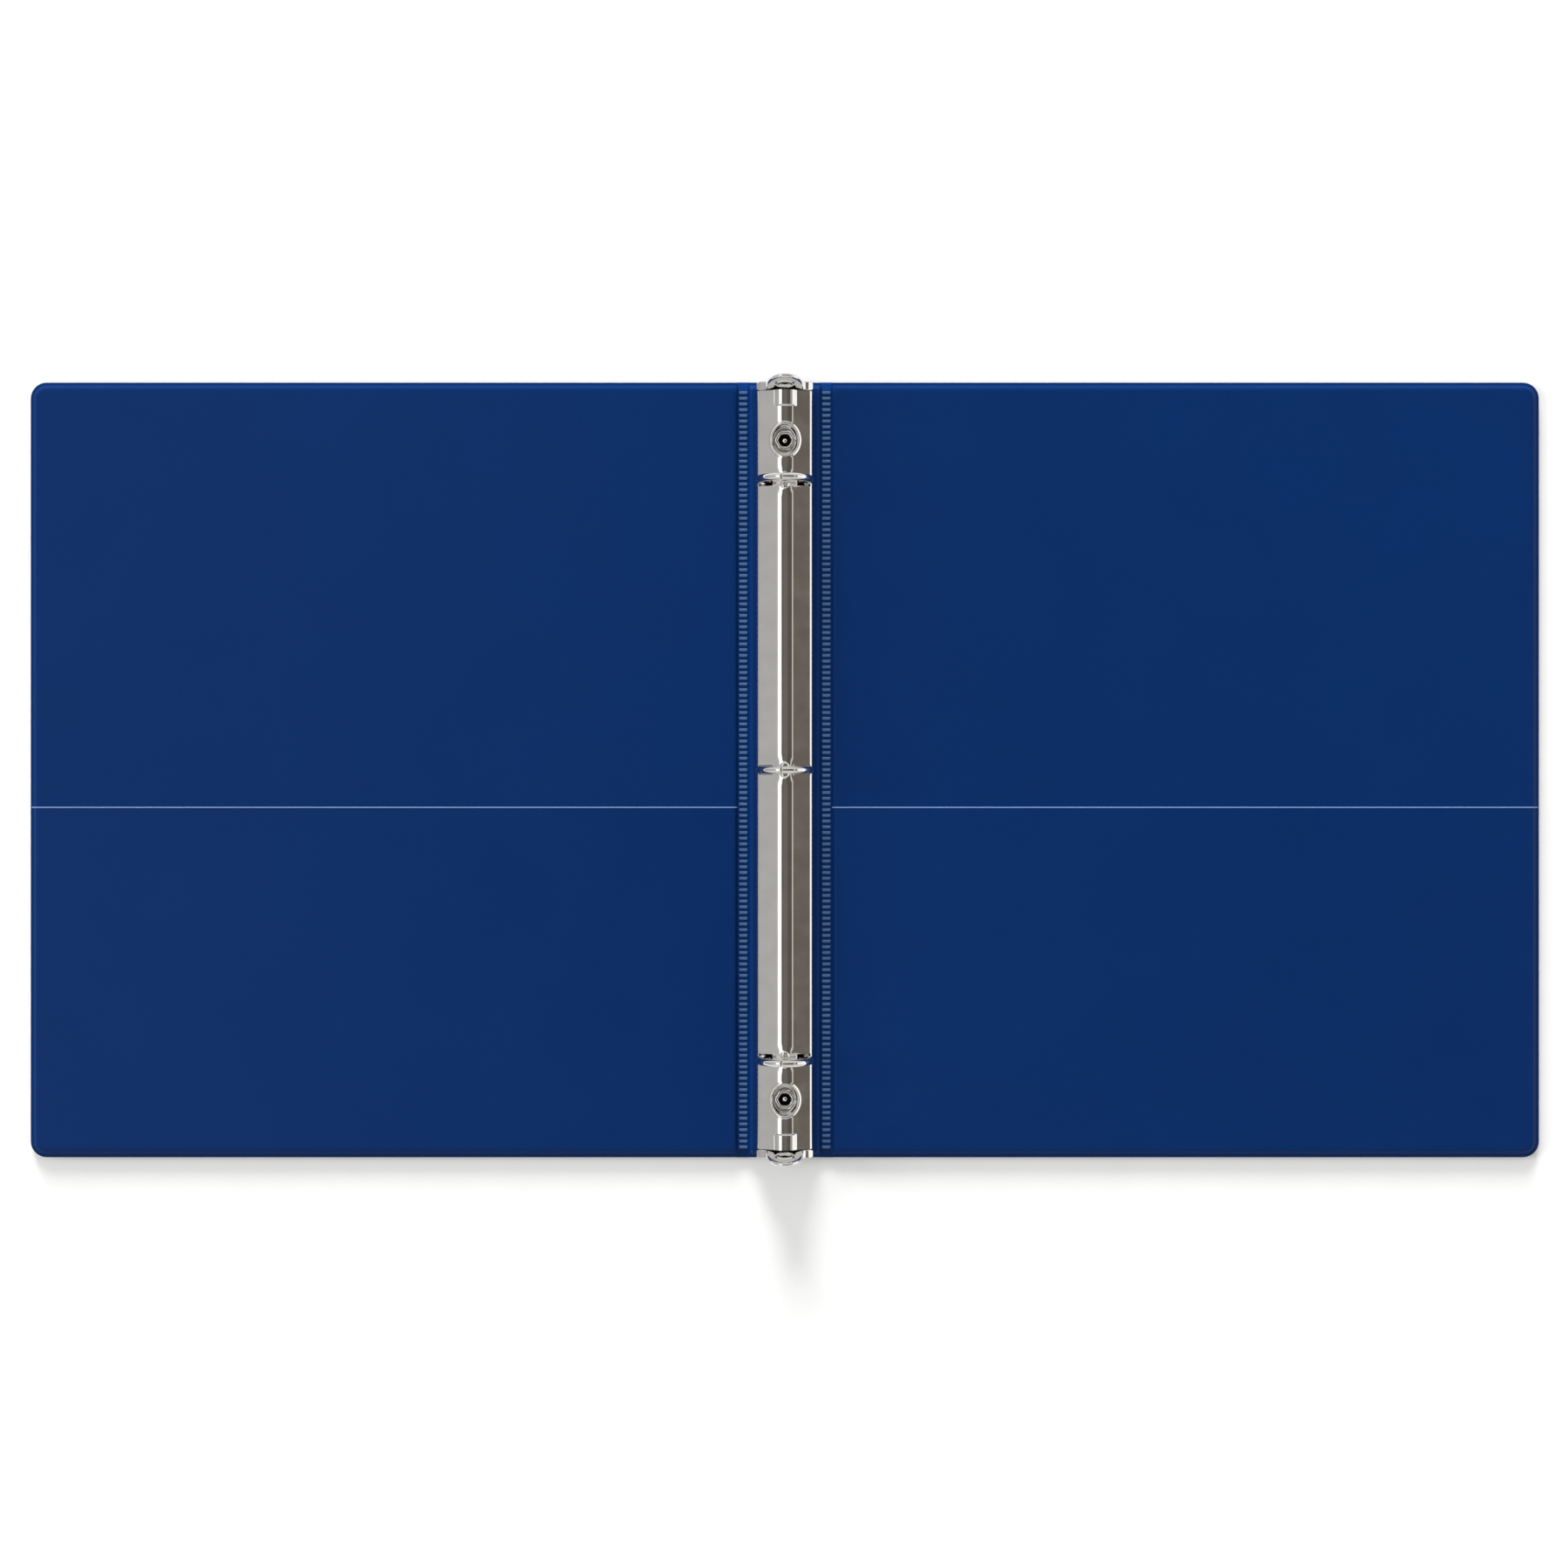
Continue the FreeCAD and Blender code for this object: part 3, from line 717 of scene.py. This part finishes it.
def build_housing():
    """Arched steel housing, pressed and cut, as one thin sheet."""
    right = half_profile()
    profile = right + [(-x, z) for x, z in reversed(right[:-1])]
    rows = housing_rows()
    wide = len(profile)
    verts = [(x, y, pressed(x, y, z)) for y in rows for x, z in profile]
    faces = []
    for i in range(len(rows) - 1):
        middle_y = (rows[i] + rows[i + 1]) / 2
        for j in range(wide - 1):
            middle_x = (profile[j][0] + profile[j + 1][0]) / 2
            middle_z = (profile[j][1] + profile[j + 1][1]) / 2
            if not cut_away(middle_x, middle_y, middle_z):
                a = i * wide + j
                faces.append((a, a + 1, a + wide + 1, a + wide))
    piece = make_piece("ring_housing", verts, faces, [NICKEL])
    solid = piece.modifiers.new("steel", "SOLIDIFY")
    solid.thickness = SHEET * MM
    solid.offset = -1.0
    solid.use_even_offset = False
    apply_modifiers(piece)
    sharpen(piece, 50.0)
    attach(piece, "spine")
    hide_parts("housing")


# ---- rings ------------------------------------------------------------------
RING_RADIUS = 9.35          # to the middle of the wire
RING_CENTRE_Z = SPINE_TOP + 10.15
RING_ROOT = high_corner("right_blade")[2] - 0.9     # the wire reaches this far down
RING_JOINT_X = -1.2         # where the two tips meet
TIP_GAP = 0.1
WIRE = 2.8
PIN = 0.7                   # radius of the pin at the root
SOCKET = 0.82
PIN_LENGTH = 0.95


def tube(path, radii, last_turn, around=24):
    """Round bar along points in a plane of constant y; it turns with them up to point last_turn."""
    loops = []
    side = Vector((0, 0, 1))
    for i, (x, y, z) in enumerate(path):
        before = path[max(i - 1, 0)]
        after = path[max(i, 1)]
        run = Vector((after[0] - before[0], 0, after[2] - before[2]))
        if run.length > 0.02 and i <= last_turn:
            run.normalize()
            side = Vector((-run.z, 0, run.x))
        loop = []
        for k in range(around):
            angle = 2 * math.pi * k / around
            out = math.cos(angle) * side + math.sin(angle) * Vector((0, 1, 0))
            loop.append(tuple(Vector((x, y, z)) + radii[i] * out))
        loops.append(loop)
    return bridge(loops)


def half_ring(place, name):
    """Wire from its blade round to the joint at the top; the left tip has a pin, the right a socket."""
    side = SIDES[name]
    y = RINGS[place]
    start = -math.asin((RING_CENTRE_Z - RING_ROOT) / RING_RADIUS)
    end = math.pi / 2 - math.asin(side * (RING_JOINT_X + side * TIP_GAP) / RING_RADIUS)
    path = []
    for angle in steps(start, end, 72):
        x = side * RING_RADIUS * math.cos(angle)
        path.append((x, y, RING_CENTRE_Z + RING_RADIUS * math.sin(angle)))
    tip = path.pop()
    radii = [WIRE / 2] * len(path)
    last = path[-1]
    for share, radius in ((0.4, 1.0), (0.75, 0.96), (0.93, 0.88), (1.0, 0.78)):
        path.append(tuple(last[i] + (tip[i] - last[i]) * share for i in range(3)))
        radii.append(WIRE / 2 * radius)
    last_turn = len(path) - 1
    pin = PIN if side < 0 else SOCKET
    for share, radius in ((0.0, pin), (0.9, pin - 0.25), (1.0, pin - 0.45)):
        path.append((tip[0] + PIN_LENGTH * share, y, tip[2]))
        radii.append(radius)
    verts, faces = tube(path, radii, last_turn)
    piece = make_piece(place + "_" + name + "_ring_wire", verts, faces, [NICKEL])
    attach(piece, name + "_rings")
    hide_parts(place + "_" + name + "_half_ring")


# ---- rivets -----------------------------------------------------------------
RIVET_HEAD = 4.75
RIVET_SHANK = 2.7
DOME_SHARE = 0.96           # how far out its circle the domed head runs
DOME_FALL = 1 - math.sqrt(1 - DOME_SHARE ** 2)


def spun(name, outline, y, around, materials, paint):
    """Turned piece from (radius, height, petal, hexagon) points about an upright axis at y.

    petal waves the ring six times round and hexagon, 0 to 1, squares it off to six sides.
    """
    loops = []
    for radius, z, petal, hexagon in outline:
        loop = []
        for k in range(around):
            angle = 2 * math.pi * k / around
            facet = 1 / math.cos(angle % (math.pi / 3) - math.pi / 6)
            r = radius * (1 + petal * math.cos(6 * angle)) * (1 + hexagon * (facet - 1))
            loop.append((r * math.cos(angle), y + r * math.sin(angle), z))
        loops.append(loop)
    verts, faces = bridge(loops)
    colours = [paint[min(i // around, len(paint) - 1)] for i in range(len(faces))]
    return make_piece(name, verts, faces, materials, colours)


def rivet(place):
    """Domed head under the spine, hollow shank flared over in the dish, round nub inside; the bore is
    painted near-black as shade.
    """
    top = RIVET_TOP
    floor_z = top - 0.5
    head = [(0.02, 0.0, 0, 0)]
    for share in (0.25, 0.5, 0.7, 0.85, 0.95, 1.0):
        rise = (1 - math.sqrt(1 - (share * DOME_SHARE) ** 2)) / DOME_FALL
        head.append((RIVET_HEAD * share, (SPINE_BOTTOM - 0.25) * rise, 0, 0))
    head += [(RIVET_HEAD, SPINE_BOTTOM - 0.05, 0, 0), (RIVET_HEAD - 0.1, SPINE_BOTTOM, 0, 0)]
    shank = [(RIVET_SHANK, SPINE_BOTTOM, 0, 0), (RIVET_SHANK, floor_z, 0, 0)]
    flare = [
        (3.55, floor_z + 0.03, 0.05, 0),
        (3.75, floor_z + 0.2, 0.06, 0),
        (3.65, top - 0.1, 0.05, 0),
        (3.3, top + 0.06, 0.04, 0),
        (2.85, top + 0.1, 0, 0.4),
        (2.5, top, 0, 0.9),
        (2.25, top - 0.35, 0, 1),
    ]
    nub_top = floor_z - 0.5
    bore = [
        (2.2, top - 0.9, 0, 1),
        (2.15, SPINE_TOP + 0.4, 0, 0.5),
        (1.9, SPINE_TOP + 0.2, 0, 0),
        (1.25, SPINE_TOP + 0.3, 0, 0),
        (1.15, nub_top - 1.4, 0, 0),
    ]
    nub = [
        (1.15, nub_top - 0.8, 0, 0),
        (1.0, nub_top - 0.35, 0, 0),
        (0.7, nub_top - 0.1, 0, 0),
        (0.02, nub_top, 0, 0),
    ]
    bright = len(head + shank + flare) - 1
    outline = head + shank + flare + bore + nub
    # The bore's faces take the near-black SHADE steel, painted shade inside the hole.
    paint = [0] * bright + [1] * len(bore) + [0] * (len(nub) + 1)
    y = ENDS[place] * RIVET_Y
    piece = spun(place + "_tubular_rivet", outline, y, 60, [RIVET_NICKEL, SHADE], paint)
    sharpen(piece, 55.0)
    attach(piece, "spine")
    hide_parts(place + "_rivet")


# ---- levers -----------------------------------------------------------------
LEVER_PIVOT = joint_place("top_lever_hinge")
LEVER_FACE = HOUSING_END + 0.3
LEVER_BACK = HOUSING_END + 3.5
LEVER_BELOW_HOUSING = 0.12
LEVER_CORNER_X = 9.2        # the shoulders fall away beyond this
LEVER_CORNER_WIDTH = 1.3
LEVER_CORNER_FALL = 0.4
LEVER_THIN_X = 9.6          # and get thinner beyond this
LEVER_THIN_WIDTH = 0.9
LEVER_THIN = 0.35           # off each face
INNER_LEAN_Z = 9.0          # the inner face leans out above this height
INNER_LEAN = 3.3
OUTER_LEAN_Z = 8.5
OUTER_LEAN = 1.4
OUTER_HOLLOW = 0.9
TAB_HALF = 6.4              # half the width of the thumb tab, and the radius of its top
TAB_TOP = high_corner("top_lever")[2]
TAB_FILLET = 1.3            # between tab and shoulders
OVAL_Z = TAB_TOP - 5.0      # raised oval on the tab
OVAL_HALF_X = 3.4
OVAL_HALF_Z = 2.3
OVAL_RIM = 0.5
OVAL_HOLLOW = 0.25
LEVER_EDGE = 0.8            # radius of the lever's top edges
# Sections of a shoulder, out from the middle, closer where its outline turns.
SHOULDER = [10.5, 10.44, 10.3, 10.05, 9.7, 9.2, 8.6, 8.0, 7.6, 7.2, 6.9, 6.65, 6.5, 6.42]
HUB = 1.3                   # radius of the lever's hub
HUB_WIDTH = 9.6
TRUNNION = 0.7
TRUNNION_X = 10.15
EASE = 0.12                 # eased edge of the neck and tongue


def lever_inner_y(z):
    """Inner face of the lever: upright at its base, then leaning out."""
    share = max(0.0, (z - INNER_LEAN_Z) / (TAB_TOP - INNER_LEAN_Z))
    return LEVER_FACE + INNER_LEAN * share


def lever_outer_y(z):
    """Outer face of the lever: upright at its base, then leaning out in a hollow curve."""
    share = max(0.0, (z - OUTER_LEAN_Z) / (TAB_TOP - OUTER_LEAN_Z))
    hollow = OUTER_HOLLOW * smooth(share * 2.4) * (1 - share)
    return LEVER_BACK - hollow + OUTER_LEAN * share ** 1.2


def lever_top_z(x):
    """Top of the lever: shoulders that follow the housing's roof, and a round tab in the middle."""
    across = abs(x)
    shoulder = roof_height(min(across, WALL_X)) - LEVER_BELOW_HOUSING
    shoulder -= LEVER_CORNER_FALL * smooth((across - LEVER_CORNER_X) / LEVER_CORNER_WIDTH)
    if across >= TAB_HALF:
        fillet = max(0.0, 1 - (across - TAB_HALF) / TAB_FILLET)
        return shoulder + TAB_FILLET * (1 - math.sqrt(max(0.0, 1 - fillet ** 2)))
    rise = math.sqrt(TAB_HALF ** 2 - across ** 2)
    return max(shoulder + TAB_FILLET, TAB_TOP - TAB_HALF + rise)


def oval_relief(x, z):
    """How far the thumb oval stands out of the inner face: a round rim about a shallow hollow."""
    oval = math.hypot(x / OVAL_HALF_X, (z - OVAL_Z) / OVAL_HALF_Z)
    rim = OVAL_RIM * math.exp(-((oval - 0.9) / 0.17) ** 2)
    return rim - OVAL_HOLLOW * (1 - smooth((oval - 0.3) / 0.4))


def lever_section(x):
    """Outline of the lever at one distance from its middle, as (y, z) points."""
    top = lever_top_z(x)
    low_in = LEVER_PIVOT[2] + 0.5
    low_out = min(LEVER_PIVOT[2] + 2.0, top - 0.7)
    narrow = LEVER_THIN * smooth((abs(x) - LEVER_THIN_X) / LEVER_THIN_WIDTH)
    inner = lever_inner_y(top) + narrow
    outer = lever_outer_y(top) - narrow
    edge = min(LEVER_EDGE, (outer - inner) * 0.48, (top - low_out) * 0.4)
    points = []
    for z in steps(low_in + 0.2, top - edge, 64):
        points.append((lever_inner_y(z) + narrow - oval_relief(x, z), z))
    turns = steps(0, math.pi / 2, 5)[1:]
    for turn in turns:
        points.append((inner + edge * (1 - math.cos(turn)), top - edge * (1 - math.sin(turn))))
    for turn in reversed(turns):
        points.append((outer - edge * (1 - math.cos(turn)), top - edge * (1 - math.sin(turn))))
    for z in steps(top - edge, low_out + 0.2, 14):
        points.append((lever_outer_y(z) - narrow, z))
    points.append((LEVER_BACK - 0.5 - narrow, low_out - 0.05))
    points.append((LEVER_FACE + 1.3, low_in + 0.05))
    points.append((LEVER_FACE + 0.3 + narrow, low_in))
    return points


def lever_stations():
    """Distances from the binder's middle where the lever has a section."""
    tab = [-TAB_HALF * math.cos(math.pi * i / 60) for i in range(61)]
    return [-x for x in SHOULDER] + tab + SHOULDER[::-1]


def lever(place):
    """Cast thumb lever that closes the end of the housing."""
    end = ENDS[place]
    loops = []
    for x in lever_stations():
        loops.append([(x, end * y, z) for y, z in lever_section(x)])
    verts, faces = bridge(loops)
    piece = make_piece(place + "_thumb_lever", verts, faces, [NICKEL])
    sharpen(piece, 60.0)
    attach(piece, place + "_lever")
    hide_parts(place + "_lever")


def bar_along_x(stations, y, z, around=28):
    """Turned bar across the binder from (x, radius) stations."""
    loops = []
    for x, radius in stations:
        loop = []
        for i in range(around):
            angle = 2 * math.pi * i / around
            loop.append((x, y + radius * math.cos(angle), z + radius * math.sin(angle)))
        loops.append(loop)
    return bridge(loops)


def block_along_x(outline, half, y, z, sign):
    """Block of one outline, given outwards and up from the pivot, with eased edges."""
    middle_out = sum(out for out, up in outline) / len(outline)
    middle_up = sum(up for out, up in outline) / len(outline)
    loops = []
    for x, ease in ((-half, EASE), (-half + EASE, 0), (half - EASE, 0), (half, EASE)):
        loop = []
        for out, up in outline:
            shrink = 1 - ease / max(abs(out - middle_out), abs(up - middle_up), 0.5)
            out_at = middle_out + (out - middle_out) * shrink
            up_at = middle_up + (up - middle_up) * shrink
            loop.append((x, y + sign * out_at, z + up_at))
        loops.append(loop)
    return bridge(loops)


def lever_hub(place):
    """Hub, trunnions, neck and tongue of a lever, inside the end of the housing."""
    end = ENDS[place]
    y, z = end * LEVER_PIVOT[1], LEVER_PIVOT[2]
    half = HUB_WIDTH / 2
    pin = [(TRUNNION_X, TRUNNION - 0.1), (TRUNNION_X - 0.1, TRUNNION)]
    right = pin + [(half, TRUNNION), (half, HUB - 0.1), (half - 0.1, HUB)]
    stations = [(-x, radius) for x, radius in right] + right[::-1]
    tongue_half = 2.0
    neck = [(0, -0.2), (0.75, -1.06), (3.4, 0.85), (3.4, 1.25), (0, 1.25)]
    tongue = [(-3.2, -1.3), (0, -1.3), (0, -0.5), (-3.2, -0.5)]
    parts = [
        bar_along_x(stations, y, z),
        block_along_x(neck, half, y, z, end),
        block_along_x(tongue, tongue_half, y, z, end),
    ]
    verts = []
    faces = []
    for part_verts, part_faces in parts:
        faces += [tuple(index + len(verts) for index in face) for face in part_faces]
        verts += part_verts
    piece = make_piece(place + "_lever_hub", verts, faces, [NICKEL])
    sharpen(piece, 40.0)
    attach(piece, place + "_lever")


# ---- light, floor and camera ------------------------------------------------
FLOOR_HALF = 30.0           # metres, so that the floor's edge is as good as a horizon
IMAGE_WIDTH = 1800
IMAGE_SCALE = 0.328         # millimetres on a cover to one step of the image
CAMERA_HEIGHT = 0.850       # metres above the covers
CAMERA_PLACE = (-0.0003, -0.0004)
CAMERA_SHIFT = -0.0083
SENSOR = 36.0
# Studio surroundings from the far left (0) over the top (0.5) to the far right (1).
SURROUNDINGS = [
    (0.00, (0.42, 0.42, 0.42)),         # pale wall on the left
    (0.14, (0.50, 0.49, 0.49)),
    (0.20, (0.56, 0.56, 0.56)),
    (0.235, (1.6, 1.6, 1.6)),           # wide soft box
    (0.325, (1.5, 1.5, 1.5)),
    (0.385, (0.05, 0.045, 0.04)),       # dark ceiling
    (0.44, (0.17, 0.16, 0.14)),
    (0.56, (0.17, 0.155, 0.14)),
    (0.70, (0.10, 0.09, 0.08)),
    (0.79, (0.13, 0.115, 0.10)),
    (0.805, (0.75, 0.72, 0.68)),        # narrow strip light
    (0.83, (0.65, 0.62, 0.58)),
    (0.845, (0.145, 0.125, 0.105)),     # dark wall
    (0.875, (0.18, 0.16, 0.14)),
    (0.895, (1.2, 1.2, 1.17)),          # bright lower wall on the right
    (1.00, (1.2, 1.2, 1.2)),
]
END_WALLS = (0.72, 0.72, 0.71, 1.0)     # beyond the binder's top and bottom edges


def soft_light(name, travel, spread, strength):
    """Even studio light along a direction, spread over an angle in degrees."""
    data = bpy.data.lights.new(name, "SUN")
    data.angle = math.radians(spread)
    data.energy = strength
    light = bpy.data.objects.new(name, data)
    light.rotation_euler = Vector(travel).to_track_quat("-Z", "Y").to_euler()
    light.visible_glossy = False
    bpy.context.scene.collection.objects.link(light)


def build_world():
    """Surroundings that vary across the binder, with plain walls beyond its two ends."""
    world = bpy.data.worlds.new("studio")
    bpy.context.scene.world = world
    world.use_nodes = True
    nodes = world.node_tree.nodes
    links = world.node_tree.links
    background = nodes["Background"]
    coords = nodes.new("ShaderNodeTexCoord")
    split = nodes.new("ShaderNodeSeparateXYZ")
    links.new(coords.outputs["Generated"], split.inputs["Vector"])
    left_to_right = nodes.new("ShaderNodeMath")
    left_to_right.operation = "MULTIPLY_ADD"
    left_to_right.inputs[1].default_value = 0.5
    left_to_right.inputs[2].default_value = 0.5
    links.new(split.outputs["X"], left_to_right.inputs[0])
    across = ramp(nodes, links, left_to_right.outputs[0], SURROUNDINGS)
    to_an_end = nodes.new("ShaderNodeMath")
    to_an_end.operation = "ABSOLUTE"
    links.new(split.outputs["Y"], to_an_end.inputs[0])
    ends = ramp(nodes, links, to_an_end.outputs[0], [(0.36, grey(0.0)), (0.46, grey(1.0))])
    blend = nodes.new("ShaderNodeMix")
    blend.data_type = "RGBA"
    blend.inputs[7].default_value = END_WALLS
    links.new(ends, blend.inputs["Factor"])
    links.new(across, blend.inputs[6])
    links.new(blend.outputs[2], background.inputs["Color"])
    background.inputs["Strength"].default_value = 1.0


def build_floor():
    half = FLOOR_HALF
    verts = [(-half, -half, 0), (half, -half, 0), (half, half, 0), (-half, half, 0)]
    mesh = bpy.data.meshes.new("studio_floor")
    mesh.from_pydata(verts, [], [(0, 1, 2, 3)])
    mesh.materials.append(PAPER)
    floor = bpy.data.objects.new("studio_floor", mesh)
    bpy.context.scene.collection.objects.link(floor)


def build_camera():
    """Camera straight above the open binder."""
    data = bpy.data.cameras.new("camera")
    camera = bpy.data.objects.new("camera", data)
    data.sensor_width = SENSOR
    data.lens = SENSOR * CAMERA_HEIGHT / (IMAGE_WIDTH * IMAGE_SCALE * MM)
    data.shift_y = CAMERA_SHIFT
    camera.location = (*CAMERA_PLACE, COVER_TOP * MM + CAMERA_HEIGHT)
    camera.rotation_euler = (0, 0, 0)
    bpy.context.scene.collection.objects.link(camera)
    bpy.context.scene.camera = camera


def paint_cad_nodes():
    """Pieces that keep their engineered shape get their own finish."""
    for name in ("front_board", "spine_board", "back_board"):
        use_material(name, BOARD)
    for name in ("left_blade", "right_blade", "top_post", "bottom_post"):
        use_material(name, ZINC)


def use_material(node, material):
    """Gives a CAD node's own mesh a finish."""
    mesh = frame["nodes"][node].data
    mesh.materials.clear()
    mesh.materials.append(material)


# ---- the whole binder -------------------------------------------------------
for cover in COVERS:
    cover_skin(cover, "outer", -1, WELD_Z - COVER_BOTTOM)
    cover_skin(cover, "inner", 1, COVER_TOP - WELD_Z)
    hinge_strip(cover)
    pocket(cover)
spine_skin("outer", -1, WELD_Z - SPINE_BOTTOM)
spine_skin("inner", 1, SPINE_TOP - WELD_Z)
build_housing()
for place in RINGS:
    for name in SIDES:
        half_ring(place, name)
for place in ENDS:
    rivet(place)
    lever(place)
    lever_hub(place)
paint_cad_nodes()
build_world()
build_floor()
build_camera()
soft_light("low_from_far_side", (0.10, -0.96, -0.20), 24, 6.4)
soft_light("low_from_left", (0.94, -0.1, -0.31), 28, 1.9)
bpy.context.scene.view_settings.view_transform = "Standard"
